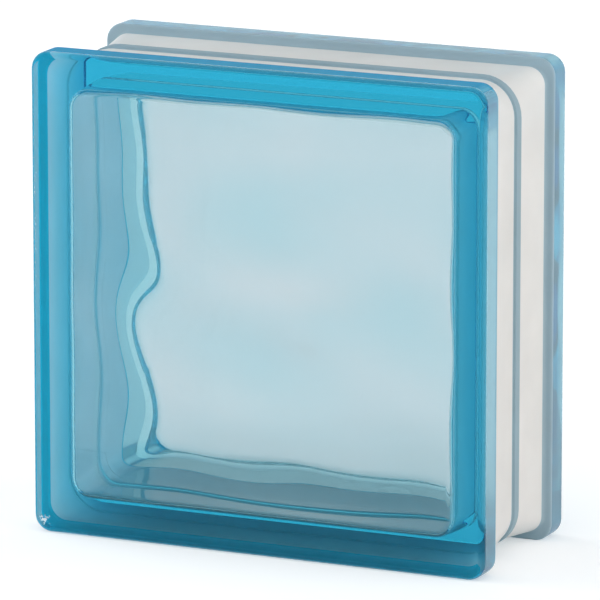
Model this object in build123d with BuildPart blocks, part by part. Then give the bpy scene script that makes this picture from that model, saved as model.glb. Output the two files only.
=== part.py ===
# Hollow glass building block, 190 x 190 x 80 mm, two pressed halves fused into one piece.
# Millimetres. +Z is up, the front face looks along -Y, the origin is the middle of the underside.
from math import pi, sin
import os

from build123d import *

# Overall size
block_width = 190.0
block_height = 190.0
block_depth = 80.0

# Flange around each face
flange_edge_depth = 12.7
flange_corner_radius = 7.0
face_edge_radius = 2.5
flange_lip_bevel = 0.8

# Mortar channel between the two flanges
channel_depth_at_flange = 3.4
channel_depth_at_seam = 4.1
channel_corner_radius_at_flange = 7.0
channel_corner_radius_at_seam = 14.5
channel_foot_radius = 1.4

# Fused seam on the outside
seam_bead_height = 1.2
seam_bead_half_width = 2.2
seam_bead_bevel = 0.6

# Hollow inside
face_thickness = 6.5
hollow_inset_at_face = 14.6
hollow_inset_at_seam = 13.0
hollow_corner_radius = 8.0
hollow_foot_radius = 3.0

# Fused seam on the inside
inner_bead_height = 1.0
inner_bead_half_width = 3.2
inner_bead_bevel = 0.6

# Wave relief pressed into the inside of each face: four straight swells that cross
wave_height = 2.35
wave_length = 52.0
wave_margin = 6.0
wave_points = 27
swell_height_shares = (0.28, 0.25, 0.20, 0.27)
swell_across_shares = (-0.03, 0.97, 0.43, 0.48)
swell_up_shares = (1.02, 0.02, 1.10, 0.68)
swell_turn_shares = (0.62, 0.215, 0.635, 0.635)

# Sizes and places that follow
half_depth = block_depth / 2
middle_height = block_height / 2
flange_rear = flange_edge_depth - half_depth
hollow_front = face_thickness - half_depth
bead_inset = channel_depth_at_seam - seam_bead_height
bead_corner_radius = channel_corner_radius_at_seam + seam_bead_height
swells = list(zip(swell_height_shares, swell_across_shares, swell_up_shares, swell_turn_shares))


def upright(depth):
    """Plane parallel to the faces, at a distance behind the middle of the block."""
    return Plane(origin=(0, depth, middle_height), x_dir=(1, 0, 0), z_dir=(0, -1, 0))


def rim(inset, corner_radius, mode=Mode.ADD):
    """Rounded outline that lies a set distance inside the block's outline."""
    return RectangleRounded(block_width - 2 * inset, block_height - 2 * inset, corner_radius, mode=mode)


def wave(across, up):
    """Height of the relief, towards the middle of the block, at a place on the inside of a face."""
    height = 0
    for height_share, across_share, up_share, turn_share in swells:
        run = (across_share * across + up_share * up) / wave_length
        height += wave_height * height_share * sin(2 * pi * (run + turn_share))
    return height


# Wave relief as one smooth surface, a little wider than the hollow
wave_span = max(block_width, block_height) - 2 * hollow_inset_at_seam + 2 * wave_margin
wave_steps = [wave_span * (row / (wave_points - 1)) - wave_span / 2 for row in range(wave_points)]
relief = Face.make_surface_from_array_of_points(
    [[(x, hollow_front + wave(x, z), middle_height + z) for x in wave_steps] for z in wave_steps]
)

# Hollow of one half: drafted walls, the waved face in front and the inner ridge at the seam
with BuildPart() as hollow:
    with BuildSketch(upright(-half_depth)):
        rim(hollow_inset_at_face, hollow_corner_radius)
    with BuildSketch(upright(0)):
        rim(hollow_inset_at_seam, hollow_corner_radius)
    loft()
    split(bisect_by=relief, keep=Keep.TOP)
    fillet(hollow.faces().sort_by(Axis.Y)[0].edges(), hollow_foot_radius)
    with BuildSketch(upright(0)):
        rim(0, flange_corner_radius)
        rim(hollow_inset_at_seam + inner_bead_height, hollow_corner_radius, Mode.SUBTRACT)
    extrude(amount=inner_bead_half_width, mode=Mode.SUBTRACT)
    ridge = hollow.faces().filter_by(Plane.XZ).sort_by(Axis.Y)[0]
    chamfer(ridge.inner_wires()[0].edges(), inner_bead_bevel)

# One pressed half: flanged face, drafted wall and half of the fused bead
with BuildPart() as half_shell:
    with BuildSketch(upright(flange_rear)):
        rim(0, flange_corner_radius)
    extrude(amount=flange_edge_depth)
    fillet(half_shell.faces().sort_by(Axis.Y)[0].edges(), face_edge_radius)
    chamfer(half_shell.faces().sort_by(Axis.Y)[-1].edges(), flange_lip_bevel)
    with BuildSketch(upright(flange_rear)):
        rim(channel_depth_at_flange, channel_corner_radius_at_flange)
    with BuildSketch(upright(0)):
        rim(channel_depth_at_seam, channel_corner_radius_at_seam)
    loft()
    flange_step = half_shell.faces().filter_by(Plane.XZ).sort_by(Axis.Y)[1]
    fillet(flange_step.inner_wires()[0].edges(), channel_foot_radius)
    with BuildSketch(upright(0)):
        rim(bead_inset, bead_corner_radius)
    extrude(amount=seam_bead_half_width)
    bead_step = half_shell.faces().filter_by(Plane.XZ).sort_by(Axis.Y)[-2]
    chamfer(bead_step.outer_wire().edges(), seam_bead_bevel)
    add(hollow.part, mode=Mode.SUBTRACT)

# Two like halves, back to back, fused into one piece
with BuildPart() as glass_block:
    add(half_shell.part)
    add(half_shell.part.rotate(Axis.Z, 180))
glass_block.part.label = "glass_block"

os.makedirs("parts", exist_ok=True)
export_step(glass_block.part, "parts/glass_block.step")
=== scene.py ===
"""Looks of a hollow glass building block: one fused piece of blue glass, with a white mortar channel."""

from __future__ import annotations

import logging
import math
from dataclasses import dataclass, field, replace
from enum import Enum
from typing import Any

import bmesh
import bpy
from bmesh.types import BMEdge, BMFace, BMVert
from mathutils import Matrix, Vector

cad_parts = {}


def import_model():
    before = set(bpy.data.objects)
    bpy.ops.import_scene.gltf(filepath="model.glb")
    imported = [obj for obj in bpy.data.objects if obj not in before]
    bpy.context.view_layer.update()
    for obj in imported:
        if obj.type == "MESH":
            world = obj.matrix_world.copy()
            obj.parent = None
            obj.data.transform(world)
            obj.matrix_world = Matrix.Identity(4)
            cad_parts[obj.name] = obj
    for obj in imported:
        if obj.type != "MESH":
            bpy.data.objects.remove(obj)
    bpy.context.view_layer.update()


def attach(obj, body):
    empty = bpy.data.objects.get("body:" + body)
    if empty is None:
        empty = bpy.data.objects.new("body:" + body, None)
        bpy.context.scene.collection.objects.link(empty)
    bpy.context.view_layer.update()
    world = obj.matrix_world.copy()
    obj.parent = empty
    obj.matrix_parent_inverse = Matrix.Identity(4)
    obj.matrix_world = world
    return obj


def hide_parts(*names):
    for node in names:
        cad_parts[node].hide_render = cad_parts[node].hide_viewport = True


LOG = logging.getLogger("glass_block")
MM = 0.001
NODE = "glass_block"
BODY = "root"
WHITE = (1.0, 1.0, 1.0, 1.0)
WELD_DISTANCE = 0.001 * MM


def linear(colour: str) -> tuple[float, float, float, float]:
    """Turns an sRGB colour to the linear one that a shader takes.

    Args:
        colour: Six hex digits, red first.

    Returns:
        Linear red, green and blue, and an alpha of 1.
    """
    levels = [int(colour[place:place + 2], 16) / 255 for place in (0, 2, 4)]
    red, green, blue = [v / 12.92 if v <= 0.04045 else ((v + 0.055) / 1.055) ** 2.4 for v in levels]
    return red, green, blue, 1.0


def add_node(
    tree: bpy.types.NodeTree,
    kind: str,
    sockets: dict[str | int, Any] | None = None,
    links: dict[str | int, bpy.types.NodeSocket] | None = None,
    **settings: Any,
) -> bpy.types.Node:
    """Adds one node with its settings and links.

    Args:
        tree: Node tree that gets the node.
        kind: Blender's name for the kind of node.
        sockets: Values of the node's own inputs.
        links: Outputs of other nodes, by the input that each goes into.
        settings: Values of the node's own settings.

    Returns:
        The new node.
    """
    node = tree.nodes.new(kind)
    for name, value in settings.items():
        setattr(node, name, value)
    for socket, value in (sockets or {}).items():
        node.inputs[socket].default_value = value
    for socket, source in (links or {}).items():
        tree.links.new(source, node.inputs[socket])
    return node


class Coat(Enum):
    """What a face of the glass carries.

    Values are the name of its attribute, its colour outside and behind the glass, and how much it covers.
    """

    BARE = ("bare", "ffffff", "ffffff", 0.0)
    WALL = ("wall_coat", "fff6f0", "e1f2ff", 1.0)
    BEAD = ("bead_coat", "a9bdc6", "dcf0fa", 1.0)
    STEP = ("step_coat", "b0c2cb", "14d2f4", 1.0)
    EDGE = ("edge_haze", "a8cadb", "e4f6ff", 0.5)
    # Painted reflection: deep cyan on the front flange's upper and lower edges, standing in for the dark
    # reflection and the blue seen into the glass there.
    PAINTED_REFLECTION = ("edge_painted_reflection", "00a2d0", "00b0da", 0.95)

    def __init__(self, attribute: str, outside: str, behind: str, cover: float) -> None:
        """Keeps the coat's attribute, its two colours and its cover."""
        self.attribute = attribute
        self.outside = outside
        self.behind = behind
        self.cover = cover


COATS = (Coat.WALL, Coat.BEAD, Coat.STEP, Coat.EDGE, Coat.PAINTED_REFLECTION)


@dataclass(frozen=True)
class ChipAndGlintPatch:
    """Patch of small white marks in the glass, in millimetres: real chips, and also a white streak along an
    edge that is a painted highlight.

    Fields are its middle, its reach each way, the marks' size, and the level of grain that starts a mark.
    """

    middle: tuple[float, float, float]
    reach: tuple[float, float, float]
    grain: float
    level: float


@dataclass(frozen=True)
class PressedGlass:
    """Mass-tinted soda-lime glass, fire-polished by the press: clear, glossy, and bluer where it is thick.

    Its mortar channel is coated white and its flanges have a blue undercoat. Both let some light in. A faint
    bloom on every face of the glass takes a little light away. A white streak along the front face's left
    edge is a painted highlight.
    """

    refraction: float = 1.52
    roughness: float = 0.0
    tint: str = "6cebf6"
    depth_of_tint: float = 18.0
    bloom: str = "f6e9e9"
    sheen: str = "8ae6ff"
    coat_roughness: float = 0.55
    coat_gloss: float = 0.2
    see_through: float = 0.38
    coat_cloud: float = 28.0
    coat_cloud_detail: float = 3.0
    coat_cloud_range: tuple[float, float] = (0.3, 0.7)
    coat_thin: float = 0.93
    # Chips at the lower left front corner, and a painted highlight: a white streak along the rounded left
    # edge of the front face.
    chip_and_glint_colour: str = "f2f8fb"
    chip_and_glint_roughness: float = 0.5
    chip_and_glint_cover: float = 0.8
    chip_and_glint_fade: float = 0.25
    chip_and_glint_detail: float = 2.0
    chip_and_glint_patches: tuple[ChipAndGlintPatch, ...] = (
        # Real chips at the lower left front corner.
        ChipAndGlintPatch((-90.2, -40.0, 5.2), (3.0, 3.0, 2.8), 0.6, 0.45),
        # Painted highlight: a white streak on the rounded left edge of the front face.
        ChipAndGlintPatch((-93.2, -39.4, 128.0), (1.5, 1.6, 62.0), 0.6, 0.53),
    )

    def chips_and_glint(self, tree: bpy.types.NodeTree) -> bpy.types.NodeSocket:
        """Adds the nodes that mark the chips and the painted highlight streak.

        Args:
            tree: Node tree of the glass.

        Returns:
            1 where the glass is chipped or carries the painted highlight streak, 0 elsewhere.
        """
        place = add_node(tree, "ShaderNodeTexCoord").outputs["Object"]
        chip_and_glint = None
        for chip_and_glint_patch in self.chip_and_glint_patches:
            away = add_node(
                tree,
                "ShaderNodeVectorMath",
                {1: Vector(chip_and_glint_patch.middle) * MM},
                {0: place},
                operation="SUBTRACT",
            )
            share = add_node(
                tree,
                "ShaderNodeVectorMath",
                {1: Vector(chip_and_glint_patch.reach) * MM},
                {0: away.outputs["Vector"]},
                operation="DIVIDE",
            )
            far = add_node(
                tree, "ShaderNodeVectorMath", links={0: share.outputs["Vector"]}, operation="LENGTH"
            )
            grain = add_node(
                tree,
                "ShaderNodeTexNoise",
                {"Scale": 1.0 / (chip_and_glint_patch.grain * MM), "Detail": self.chip_and_glint_detail},
                {"Vector": place},
            )
            depth = add_node(
                tree,
                "ShaderNodeMath",
                {1: -self.chip_and_glint_fade},
                {0: far.outputs["Value"], 2: grain.outputs["Fac"]},
                operation="MULTIPLY_ADD",
            )
            here = add_node(
                tree,
                "ShaderNodeMath",
                {1: chip_and_glint_patch.level},
                {0: depth.outputs["Value"]},
                operation="GREATER_THAN",
            ).outputs["Value"]
            chip_and_glint = here if chip_and_glint is None else add_node(
                tree, "ShaderNodeMath", links={0: chip_and_glint, 1: here}, operation="MAXIMUM"
            ).outputs["Value"]
        return add_node(
            tree, "ShaderNodeMath", {1: self.chip_and_glint_cover}, {0: chip_and_glint}, operation="MULTIPLY"
        ).outputs["Value"]

    def coat(self, tree: bpy.types.NodeTree) -> tuple[bpy.types.NodeSocket, bpy.types.NodeSocket]:
        """Adds the coats' nodes.

        Args:
            tree: Node tree of the glass.

        Returns:
            The coats' shader, and how much of a face is coated.
        """
        side = add_node(tree, "ShaderNodeNewGeometry").outputs["Backfacing"]
        colour, coated = None, None
        for coat in COATS:
            here = add_node(tree, "ShaderNodeAttribute", attribute_name=coat.attribute).outputs["Fac"]
            both = add_node(
                tree,
                "ShaderNodeMix",
                {6: linear(coat.outside), 7: linear(coat.behind)},
                {0: side},
                data_type="RGBA",
            ).outputs[2]
            if colour is None or coated is None:
                colour, coated = both, here
                continue
            chosen = add_node(
                tree, "ShaderNodeMath", {1: 0.0}, {0: here}, operation="GREATER_THAN"
            ).outputs["Value"]
            colour = add_node(
                tree, "ShaderNodeMix", links={0: chosen, 6: colour, 7: both}, data_type="RGBA"
            ).outputs[2]
            coated = add_node(
                tree, "ShaderNodeMath", links={0: coated, 1: here}, operation="ADD"
            ).outputs["Value"]
        place = add_node(tree, "ShaderNodeTexCoord").outputs["Object"]
        cloud = add_node(
            tree,
            "ShaderNodeTexNoise",
            {"Scale": 1.0 / (self.coat_cloud * MM), "Detail": self.coat_cloud_detail},
            {"Vector": place},
        )
        low, high = self.coat_cloud_range
        thin = add_node(
            tree,
            "ShaderNodeMapRange",
            {"From Min": low, "From Max": high, "To Min": self.coat_thin, "To Max": 1.0},
            {"Value": cloud.outputs["Fac"]},
        )
        colour = add_node(
            tree, "ShaderNodeVectorMath", links={0: colour, 1: thin.outputs["Result"]}, operation="MULTIPLY"
        ).outputs["Vector"]
        film = add_node(
            tree,
            "ShaderNodeBsdfPrincipled",
            {"Roughness": self.coat_roughness, "Specular IOR Level": self.coat_gloss},
            {"Base Color": colour},
        )
        glow = add_node(tree, "ShaderNodeBsdfTranslucent", links={"Color": colour})
        shader = add_node(
            tree,
            "ShaderNodeMixShader",
            {0: self.see_through},
            {1: film.outputs["BSDF"], 2: glow.outputs["BSDF"]},
        )
        return shader.outputs["Shader"], coated

    def material(self) -> bpy.types.Material:
        """Makes the glass, with its tint as plain absorption inside the solid.

        Returns:
            The material.
        """
        material = bpy.data.materials.new("soda_lime_glass_pressed_blue")
        material.use_nodes = True
        tree = material.node_tree
        tree.nodes.clear()
        glass = add_node(
            tree,
            "ShaderNodeBsdfPrincipled",
            {
                "Base Color": linear(self.bloom),
                "Roughness": self.roughness,
                "IOR": self.refraction,
                "Specular Tint": linear(self.sheen),
                "Transmission Weight": 1.0,
            },
        )
        coat, coated = self.coat(tree)
        whole = add_node(tree, "ShaderNodeMixShader", links={0: coated, 1: glass.outputs["BSDF"], 2: coat})
        # White of the chips and of the painted highlight streak.
        chip_and_glint_shader = add_node(
            tree,
            "ShaderNodeBsdfPrincipled",
            {"Base Color": linear(self.chip_and_glint_colour), "Roughness": self.chip_and_glint_roughness},
        )
        surface = add_node(
            tree,
            "ShaderNodeMixShader",
            links={0: self.chips_and_glint(tree), 1: whole.outputs["Shader"], 2: chip_and_glint_shader.outputs["BSDF"]},
        )
        volume = add_node(
            tree,
            "ShaderNodeVolumeAbsorption",
            {"Color": linear(self.tint), "Density": 1.0 / (self.depth_of_tint * MM)},
        )
        add_node(
            tree,
            "ShaderNodeOutputMaterial",
            links={"Surface": surface.outputs["Shader"], "Volume": volume.outputs["Volume"]},
        )
        return material


@dataclass(frozen=True)
class Swell:
    """One straight swell of the wave relief.

    Fields are its height and its run across and up as shares, and its start as a share of a turn.
    """

    height_share: float
    across_share: float
    up_share: float
    turn_share: float


@dataclass(frozen=True)
class WaveRelief:
    """Wave relief on the inside of a face: swells that cross, in millimetres."""

    height: float = 2.35
    length: float = 52.0
    swells: tuple[Swell, ...] = (
        Swell(0.28, -0.03, 1.02, 0.62),
        Swell(0.25, 0.97, 0.02, 0.215),
        Swell(0.20, 0.43, 1.10, 0.635),
        Swell(0.27, 0.48, 0.68, 0.635),
    )

    def at(self, across: float, up: float) -> float:
        """Gives the relief's height at a place on the face.

        Args:
            across: Place along the width, from the middle of the face.
            up: Place along the height, from the middle of the face.

        Returns:
            Height towards the middle of the block.
        """
        total = 0.0
        for swell in self.swells:
            run = (swell.across_share * across + swell.up_share * up) / self.length
            total += swell.height_share * math.sin(2 * math.pi * (run + swell.turn_share))
        return self.height * total


@dataclass(frozen=True)
class Ring:
    """One rounded square ring of a skin, in millimetres.

    Fields are its inset from the block's outline, its place in depth, its corner radius, the share of the
    wave relief that it follows, and the coat on the faces that end at it.
    """

    inset: float
    depth: float
    corner: float
    relief_share: float = 0.0
    coat: Coat = Coat.BARE


def bend(
    centre: tuple[float, float],
    start: tuple[float, float],
    end: tuple[float, float],
    corner: float,
    steps: int,
    relief_shares: tuple[float, float] = (0.0, 0.0),
) -> list[Ring]:
    """Makes the rings of a quarter-round stretch.

    Args:
        centre: Inset and depth of the middle of the round.
        start: Inset and depth where the round starts.
        end: Inset and depth where the round ends.
        corner: Corner radius at the start. It follows the inset.
        steps: Number of rings.
        relief_shares: Share of the relief at the start and at the end.

    Returns:
        The rings after the start, up to the end.
    """
    rings = []
    for step in range(1, steps + 1):
        angle = math.pi / 2 * step / steps
        inset, depth = (
            c + (s - c) * math.cos(angle) + (e - c) * math.sin(angle) for c, s, e in zip(centre, start, end)
        )
        share = relief_shares[0] + (relief_shares[1] - relief_shares[0]) * math.sin(angle)
        rings.append(Ring(inset, depth, corner + start[0] - inset, share))
    return rings


@dataclass
class BlockForm:
    """Sizes of the block, in millimetres, and how its skins are drawn around them."""

    width: float = 190.0
    depth: float = 80.0
    flange_edge_depth: float = 12.7
    flange_corner: float = 7.0
    face_edge_round: float = 2.5
    flange_lip_round: float = 0.8
    channel_at_flange: float = 3.4
    channel_at_seam: float = 4.1
    channel_corner_at_flange: float = 7.0
    channel_corner_at_seam: float = 14.5
    channel_foot_round: float = 1.4
    bead_height: float = 1.2
    bead_half_width: float = 2.2
    bead_crest_round: float = 0.6
    bead_foot_round: float = 0.5
    face_thickness: float = 6.5
    hollow_at_face: float = 14.6
    hollow_at_seam: float = 13.0
    hollow_corner: float = 8.0
    hollow_foot_round: float = 3.0
    ridge_height: float = 1.0
    ridge_half_width: float = 3.2
    ridge_round: float = 0.6
    relief: WaveRelief = field(default_factory=WaveRelief)
    side_steps: int = 48
    corner_steps: int = 10
    round_steps: int = 6

    @property
    def step_depth(self) -> float:
        """Place in depth of the front flange's step."""
        return self.flange_edge_depth - self.depth / 2

    @property
    def bead_foot(self) -> Ring:
        """Ring where the front of the seam bead runs into the channel."""
        depth = -self.bead_half_width - self.bead_foot_round
        share = depth / self.step_depth
        inset = self.channel_at_seam + share * (self.channel_at_flange - self.channel_at_seam)
        corner = self.channel_corner_at_seam
        return Ring(inset, depth, corner + share * (self.channel_corner_at_flange - corner))

    @property
    def step_foot(self) -> tuple[float, float]:
        """Inset and depth where the channel starts to round into the flange's step."""
        return self.channel_at_flange, self.step_depth + self.channel_foot_round

    def bead_rings(self) -> list[Ring]:
        """Lists the rings of the seam bead's front half, from its crest to its foot."""
        crest = self.channel_at_seam - self.bead_height
        crest_corner = self.channel_corner_at_seam + self.bead_height
        crest_end = self.bead_crest_round - self.bead_half_width
        crest_foot = crest + self.bead_crest_round
        foot = self.bead_foot
        foot_out = foot.inset - self.bead_foot_round
        side = -self.bead_half_width
        return [
            Ring(crest, 0.0, crest_corner),
            Ring(crest, crest_end, crest_corner),
            *bend(
                (crest_foot, crest_end),
                (crest, crest_end),
                (crest_foot, side),
                crest_corner,
                self.round_steps,
            ),
            Ring(foot_out, side, foot.corner + self.bead_foot_round),
            *bend(
                (foot_out, foot.depth),
                (foot_out, side),
                (foot.inset, foot.depth),
                foot.corner + self.bead_foot_round,
                self.round_steps,
            ),
        ]

    def wall_rings(self) -> list[Ring]:
        """Lists the end ring of the channel's wall, next to the flange."""
        wall, wall_end = self.step_foot
        return [Ring(wall, wall_end, self.channel_corner_at_flange)]

    def step_rings(self) -> list[Ring]:
        """Lists the rings of the flange's step, from the end of the channel's wall to the flange's lip."""
        wall, wall_end = self.step_foot
        wall_out = wall - self.channel_foot_round
        step, lip = self.step_depth, self.flange_lip_round
        return [
            *bend(
                (wall_out, wall_end),
                (wall, wall_end),
                (wall_out, step),
                self.channel_corner_at_flange,
                self.round_steps,
            ),
            Ring(lip, step, self.flange_corner - lip),
        ]

    def lip_rings(self) -> list[Ring]:
        """Lists the rings of the round between the flange's step and its outer edge."""
        step, lip = self.step_depth, self.flange_lip_round
        return bend(
            (lip, step - lip), (lip, step), (0.0, step - lip), self.flange_corner - lip, self.round_steps
        )

    def place(self, ring: Ring, turn: int) -> Vector:
        """Places one vertex of a ring.

        Args:
            ring: Ring that the vertex is on.
            turn: Number of the vertex around the ring.

        Returns:
            Its place, in metres.
        """
        side, step = divmod(turn, self.side_steps + self.corner_steps)
        half = self.width / 2 - ring.inset
        flat = half - ring.corner
        if step < self.side_steps:
            across, up = half, flat * (2 * step / self.side_steps - 1)
        else:
            angle = math.pi / 2 * (step - self.side_steps) / self.corner_steps
            across, up = flat + ring.corner * math.cos(angle), flat + ring.corner * math.sin(angle)
        for _ in range(side):
            across, up = -up, across
        depth = ring.depth + ring.relief_share * self.relief.at(across, up)
        return Vector((across, depth, self.width / 2 + up)) * MM

    def draw(self, mesh: bmesh.types.BMesh, rings: list[Ring]) -> tuple[list[BMFace], list[BMEdge]]:
        """Extrudes a skin from ring to ring.

        Args:
            mesh: Mesh that gets the skin.
            rings: Rings from the seam outwards.

        Returns:
            The faces of the skin and the edges of its last ring.
        """
        turn = mesh.verts.layers.int.get("turn") or mesh.verts.layers.int.new("turn")
        coats = {
            coat: mesh.faces.layers.float.get(coat.attribute) or mesh.faces.layers.float.new(coat.attribute)
            for coat in COATS
        }
        segments = 4 * (self.side_steps + self.corner_steps)
        verts = bmesh.ops.create_circle(mesh, segments=segments, radius=1.0)["verts"]
        for number, vert in enumerate(verts):
            vert[turn] = number
            vert.co = self.place(rings[0], number)
        edges = list({edge for vert in verts for edge in vert.link_edges})
        faces: list[BMFace] = []
        for ring in rings[1:]:
            made = bmesh.ops.extrude_edge_only(mesh, edges=edges)["geom"]
            verts = {item for item in made if isinstance(item, BMVert)}
            for vert in verts:
                vert.co = self.place(ring, vert[turn])
            edges = [edge for edge in {e for v in verts for e in v.link_edges} if set(edge.verts) <= verts]
            made_faces = {face for vert in verts for face in vert.link_faces}
            for face in made_faces:
                for coat, layer in coats.items():
                    face[layer] = coat.cover if coat is ring.coat else 0.0
            faces += made_faces
        return faces, edges


def two_halves(mesh: bmesh.types.BMesh) -> None:
    """Adds the rear half, which is the front half turned half round, and merges both at the seam."""
    geometry = mesh.verts[:] + mesh.edges[:] + mesh.faces[:]
    bmesh.ops.spin(
        mesh, geom=geometry, axis=(0, 0, 1), cent=(0, 0, 0), angle=math.pi, steps=1, use_duplicate=True
    )
    bmesh.ops.remove_doubles(mesh, verts=mesh.verts[:], dist=WELD_DISTANCE)


def finish_piece(mesh: bmesh.types.BMesh, name: str, material: bpy.types.Material) -> bpy.types.Object:
    """Turns a mesh into a piece of the object, which rides on the model.

    Its normals lean on the larger faces, so that a flat stretch stays flat next to a small round.

    Args:
        mesh: The finished mesh, which is freed.
        name: Name of the piece.
        material: Its finish.

    Returns:
        The piece, at the origin.
    """
    for face in mesh.faces:
        face.smooth = True
    mesh.normal_update()
    normals = [
        sum((face.normal * face.calc_area() for face in vert.link_faces), Vector()).normalized()
        for vert in mesh.verts
    ]
    data = bpy.data.meshes.new(name)
    mesh.to_mesh(data)
    data.normals_split_custom_set_from_vertices(normals)
    LOG.info("%s: %d faces, closed %s", name, len(mesh.faces), all(edge.is_manifold for edge in mesh.edges))
    mesh.free()
    data.materials.append(material)
    piece = bpy.data.objects.new(name, data)
    bpy.context.collection.objects.link(piece)
    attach(piece, BODY)
    return piece


@dataclass
class FusedGlass:
    """The block's one piece of glass: an outer skin, and the skin of its sealed hollow."""

    form: BlockForm
    finish: PressedGlass = field(default_factory=PressedGlass)
    face_rings: int = 56

    def outer_rings(self) -> list[Ring]:
        """Lists the rings of the front half's outer skin, from the seam to the edge of the face."""
        form, steps = self.form, self.form.round_steps
        front, edge = -form.depth / 2, form.face_edge_round
        return [
            *(replace(ring, coat=Coat.BEAD) for ring in form.bead_rings()),
            *(replace(ring, coat=Coat.WALL) for ring in form.wall_rings()),
            *(replace(ring, coat=Coat.STEP) for ring in form.step_rings()),
            *(replace(ring, coat=Coat.STEP) for ring in form.lip_rings()),
            Ring(0.0, front + edge, form.flange_corner, coat=Coat.EDGE),
            *bend((edge, front + edge), (0.0, front + edge), (edge, front), form.flange_corner, steps),
        ]

    def hollow_rings(self) -> list[Ring]:
        """Lists the rings of the hollow's front half, from the seam to the middle of the waved face."""
        form, steps = self.form, self.form.round_steps
        half = form.width / 2
        front = form.face_thickness - form.depth / 2
        draft = (form.hollow_at_face - form.hollow_at_seam) / (form.depth / 2)
        crest = form.hollow_at_seam + form.ridge_height
        crest_out = crest - form.ridge_round
        ridge = -form.ridge_half_width
        crest_end = ridge + form.ridge_round
        wall_end = front + form.hollow_foot_round
        wall = form.hollow_at_seam - draft * wall_end
        face_edge = wall + form.hollow_foot_round
        face_corner = form.hollow_corner - form.hollow_foot_round
        rings = [
            Ring(crest, 0.0, form.hollow_corner),
            Ring(crest, crest_end, form.hollow_corner),
            *bend((crest_out, crest_end), (crest, crest_end), (crest_out, ridge), form.hollow_corner, steps),
            Ring(form.hollow_at_seam - draft * ridge, ridge, form.hollow_corner),
            Ring(wall, wall_end, form.hollow_corner),
            *bend(
                (face_edge, wall_end),
                (wall, wall_end),
                (face_edge, front),
                form.hollow_corner,
                2 * steps,
                (0.0, 1.0),
            ),
        ]
        reach = half - face_edge
        for step in range(1, self.face_rings):
            left = 1 - step / self.face_rings
            corner = left * (reach * (1 - left) + face_corner * left)
            rings.append(Ring(half - reach * left, front, corner, 1.0))
        return rings

    def settle_mist_and_painted_reflection(self, mesh: bmesh.types.BMesh) -> None:
        """Leaves the coat's spray mist all round the rear flange's edge, and on the sides of the front one.

        The front flange's upper and lower edges get a deep cyan film in its place: a painted reflection,
        standing in for the dark reflection and the blue seen into the glass there.

        Args:
            mesh: Mesh of both halves.
        """
        mesh.normal_update()
        mist = mesh.faces.layers.float[Coat.EDGE.attribute]
        film = mesh.faces.layers.float[Coat.PAINTED_REFLECTION.attribute]
        for face in mesh.faces:
            if face[mist] > 0 and face.calc_center_median().y < 0:
                face[mist] *= face.normal.x**2
                # Painted reflection: faces that point up or down get the deep cyan film, more the straighter
                # they face up or down.
                if abs(face.normal.z) > abs(face.normal.x):
                    face[film], face[mist] = Coat.PAINTED_REFLECTION.cover * face.normal.z**2, 0.0

    def build(self) -> bpy.types.Object:
        """Builds the glass: two like halves, back to back, fused at the seam.

        Returns:
            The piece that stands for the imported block.
        """
        mesh = bmesh.new()
        outer, rim = self.form.draw(mesh, self.outer_rings())
        outer += bmesh.ops.contextual_create(mesh, geom=rim)["faces"]
        hollow, rim = self.form.draw(mesh, self.hollow_rings())
        middle = bmesh.ops.contextual_create(mesh, geom=rim)["faces"]
        hollow += bmesh.ops.poke(mesh, faces=middle)["faces"]
        for skin, sign in ((outer, -1.0), (hollow, 1.0)):
            bmesh.ops.recalc_face_normals(mesh, faces=skin)
            if skin[-1].normal.y * sign < 0:
                bmesh.ops.reverse_faces(mesh, faces=skin)
        two_halves(mesh)
        self.settle_mist_and_painted_reflection(mesh)
        piece = finish_piece(mesh, "fused_glass", self.finish.material())
        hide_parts(NODE)
        return piece


def seen_rays(tree: bpy.types.NodeTree) -> bpy.types.NodeSocket:
    """Adds the nodes that tell what sees a surface from what is lit by it.

    Args:
        tree: Node tree of the floor or of the surroundings.

    Returns:
        1 for the camera, for mirrors and for clear glass, and 0 for spread light.
    """
    rays = add_node(tree, "ShaderNodeLightPath")
    total = rays.outputs["Is Camera Ray"]
    for kind in ("Is Glossy Ray", "Is Transmission Ray"):
        total = add_node(
            tree, "ShaderNodeMath", links={0: total, 1: rays.outputs[kind]}, operation="MAXIMUM"
        ).outputs["Value"]
    return add_node(
        tree,
        "ShaderNodeMath",
        links={0: total, 1: rays.outputs["Is Diffuse Ray"]},
        operation="SUBTRACT",
        use_clamp=True,
    ).outputs["Value"]


@dataclass(frozen=True)
class LightPatch:
    """Soft patch of light in the surroundings: its axis and way along it, level, narrowness and colour."""

    axis: str
    way: float
    level: float
    narrowness: float
    colour: str


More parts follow.
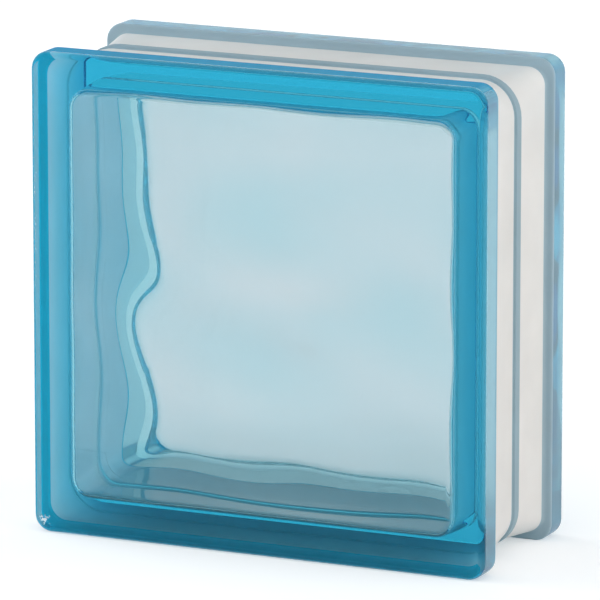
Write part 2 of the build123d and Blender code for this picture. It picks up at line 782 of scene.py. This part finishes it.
@dataclass
class Studio:
    """Pale floor, lifted to white where it is seen, soft light and white surroundings."""

    floor_size: float = 12.0
    floor_colour: str = "e4e5e6"
    seen_lift: float = 0.36
    surround: float = 0.2
    patches: tuple[LightPatch, ...] = (
        LightPatch("X", 1.0, 6.4, 8.0, "fff8f2"),
        LightPatch("X", -1.0, 7.8, 8.0, "ffffff"),
        LightPatch("Y", -1.0, 1.0, 2.0, "ffffff"),
        LightPatch("Z", 1.0, 0.6, 2.0, "e2f4ff"),
    )

    def floor(self) -> bpy.types.Object:
        """Lays the pale floor, which stays white to the camera apart from the block's shadow.

        Returns:
            The floor's object.
        """
        mesh = bmesh.new()
        bmesh.ops.create_grid(mesh, x_segments=1, y_segments=1, size=self.floor_size / 2)
        data = bpy.data.meshes.new("studio_floor")
        mesh.to_mesh(data)
        mesh.free()
        floor = bpy.data.objects.new("studio_floor", data)
        bpy.context.collection.objects.link(floor)
        material = bpy.data.materials.new("pale_paper_floor")
        material.use_nodes = True
        tree = material.node_tree
        tree.nodes.clear()
        paper = add_node(tree, "ShaderNodeBsdfDiffuse", {"Color": linear(self.floor_colour)})
        level = add_node(
            tree, "ShaderNodeMath", {1: self.seen_lift}, {0: seen_rays(tree)}, operation="MULTIPLY"
        )
        lift = add_node(
            tree, "ShaderNodeEmission", {"Color": WHITE}, {"Strength": level.outputs["Value"]}
        )
        lit = add_node(
            tree, "ShaderNodeAddShader", links={0: paper.outputs["BSDF"], 1: lift.outputs["Emission"]}
        )
        add_node(tree, "ShaderNodeOutputMaterial", links={"Surface": lit.outputs["Shader"]})
        data.materials.append(material)
        return floor

    def light(self) -> None:
        """Sets white surroundings with soft lights at the sides, in front and above.

        The camera, mirrors and clear glass see plain white in their place.
        """
        world = bpy.data.worlds.new("white_surroundings")
        world.use_nodes = True
        tree = world.node_tree
        tree.nodes.clear()
        place = add_node(tree, "ShaderNodeTexCoord")
        axes = add_node(tree, "ShaderNodeSeparateXYZ", links={0: place.outputs["Generated"]})
        around = add_node(
            tree, "ShaderNodeBackground", {"Color": WHITE, "Strength": self.surround}
        ).outputs["Background"]
        for patch in self.patches:
            towards = add_node(
                tree,
                "ShaderNodeMath",
                {1: patch.way},
                {0: axes.outputs[patch.axis]},
                operation="MULTIPLY",
                use_clamp=True,
            )
            lobe = add_node(
                tree,
                "ShaderNodeMath",
                {1: patch.narrowness},
                {0: towards.outputs["Value"]},
                operation="POWER",
            )
            level = add_node(
                tree, "ShaderNodeMath", {1: patch.level}, {0: lobe.outputs["Value"]}, operation="MULTIPLY"
            )
            glow = add_node(
                tree,
                "ShaderNodeBackground",
                {"Color": linear(patch.colour)},
                {"Strength": level.outputs["Value"]},
            )
            around = add_node(
                tree, "ShaderNodeAddShader", links={0: around, 1: glow.outputs["Background"]}
            ).outputs["Shader"]
        white = add_node(tree, "ShaderNodeBackground", {"Color": WHITE, "Strength": 1.0})
        backdrop = add_node(
            tree,
            "ShaderNodeMixShader",
            links={0: seen_rays(tree), 1: around, 2: white.outputs["Background"]},
        )
        add_node(tree, "ShaderNodeOutputWorld", links={"Surface": backdrop.outputs["Shader"]})
        bpy.context.scene.world = world


@dataclass
class PhotoCamera:
    """Camera at the photograph's viewing angle, in degrees and millimetres."""

    azimuth: float = 24.47
    elevation: float = 12.6
    distance: float = 2612.6
    lens: float = 406.2
    sensor: float = 36.0
    aim_across: float = 0.75
    aim_up: float = -2.2
    aim_height: float = 95.0
    clip_end: float = 100000.0

    def set_up(self) -> bpy.types.Object:
        """Places the camera and makes it the scene's.

        Returns:
            The camera's object.
        """
        data = bpy.data.cameras.new("photo_camera")
        data.lens = self.lens
        data.sensor_width = self.sensor
        data.clip_end = self.clip_end * MM
        azimuth, elevation = math.radians(self.azimuth), math.radians(self.elevation)
        turn = Matrix.Rotation(azimuth, 4, "Z") @ Matrix.Rotation(math.pi / 2 - elevation, 4, "X")
        reach = turn @ Vector((self.aim_across, self.aim_up, self.distance))
        camera = bpy.data.objects.new("photo_camera", data)
        camera.matrix_world = Matrix.Translation((reach + Vector((0, 0, self.aim_height))) * MM) @ turn
        bpy.context.collection.objects.link(camera)
        bpy.context.scene.camera = camera
        return camera


@dataclass(frozen=True)
class LightBounces:
    """How often light is followed through the glass and between the coats."""

    total: int = 32
    through: int = 32
    mirrored: int = 16
    spread: int = 6

    def set_up(self, scene: bpy.types.Scene) -> None:
        """Sets the scene's numbers of bounces.

        Args:
            scene: Scene that is rendered.
        """
        scene.cycles.max_bounces = self.total
        scene.cycles.transmission_bounces = self.through
        scene.cycles.glossy_bounces = self.mirrored
        scene.cycles.diffuse_bounces = self.spread


def main() -> None:
    """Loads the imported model, dresses it and sets up the studio."""
    logging.basicConfig(level=logging.INFO, format="%(name)s: %(message)s")
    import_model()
    scene = bpy.context.scene
    scene.view_settings.view_transform = "Standard"
    LightBounces().set_up(scene)

    FusedGlass(BlockForm()).build()

    studio = Studio()
    studio.floor()
    studio.light()
    PhotoCamera().set_up()
    LOG.info("studio ready")


if __name__ == "__main__":
    main()
